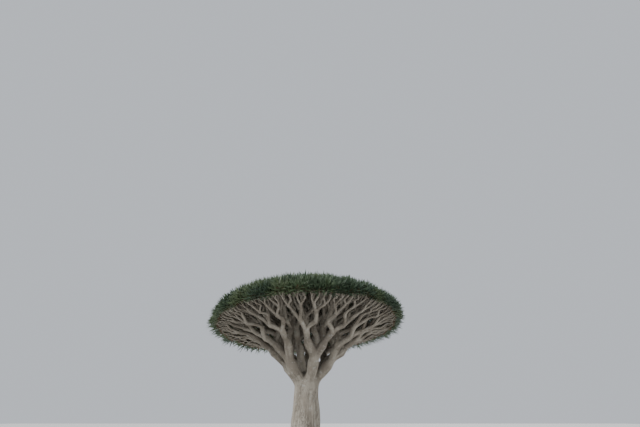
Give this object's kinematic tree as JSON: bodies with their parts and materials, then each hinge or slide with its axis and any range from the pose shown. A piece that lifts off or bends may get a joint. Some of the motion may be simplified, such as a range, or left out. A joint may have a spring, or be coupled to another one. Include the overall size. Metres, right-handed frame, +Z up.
{
  "type": "dragon blood tree",
  "caption": "Rooted dragon blood tree: stout trunk that flares at the ground and opens into forking boughs under a dense umbrella crown of sword-leaf rosettes",
  "frame": {"origin": "centre of the flat cut under the trunk, at ground level", "axes": "+Z points up the trunk, -Y is the side that the picture was taken from, and +X is its right"},
  "size_m": [6.1867, 6.1375, 4.9087],
  "materials": {
    "bark": "dry grey bark, matt",
    "foliage": "grey-green leathery leaves on pale twigs, satin"
  },
  "bodies": {
    "root": {"bough_1": "bark", "bough_2": "bark", "bough_3": "bark", "bough_4": "bark", "bough_5": "bark", "bough_6": "bark", "branch_1a": "bark", "branch_1b": "bark", "branch_2a": "bark", "branch_2b": "bark", "branch_3a": "bark", "branch_3b": "bark", "branch_4a": "bark", "branch_4b": "bark", "branch_5a": "bark", "branch_5b": "bark", "branch_6a": "bark", "branch_6b": "bark", "foliage_middle_1a": "foliage", "foliage_middle_1b": "foliage", "foliage_middle_2a": "foliage", "foliage_middle_2b": "foliage", "foliage_middle_3a": "foliage", "foliage_middle_3b": "foliage", "foliage_middle_4a": "foliage", "foliage_middle_4b": "foliage", "foliage_middle_5a": "foliage", "foliage_middle_5b": "foliage", "foliage_middle_6a": "foliage", "foliage_middle_6b": "foliage", "foliage_rim_1a": "foliage", "foliage_rim_1b": "foliage", "foliage_rim_2a": "foliage", "foliage_rim_2b": "foliage", "foliage_rim_3a": "foliage", "foliage_rim_3b": "foliage", "foliage_rim_4a": "foliage", "foliage_rim_4b": "foliage", "foliage_rim_5a": "foliage", "foliage_rim_5b": "foliage", "foliage_rim_6a": "foliage", "foliage_rim_6b": "foliage", "foliage_top_1a": "foliage", "foliage_top_1b": "foliage", "foliage_top_2a": "foliage", "foliage_top_2b": "foliage", "leader_1": "bark", "leader_2": "bark", "trunk": "bark"}
  },
  "joints": []
}
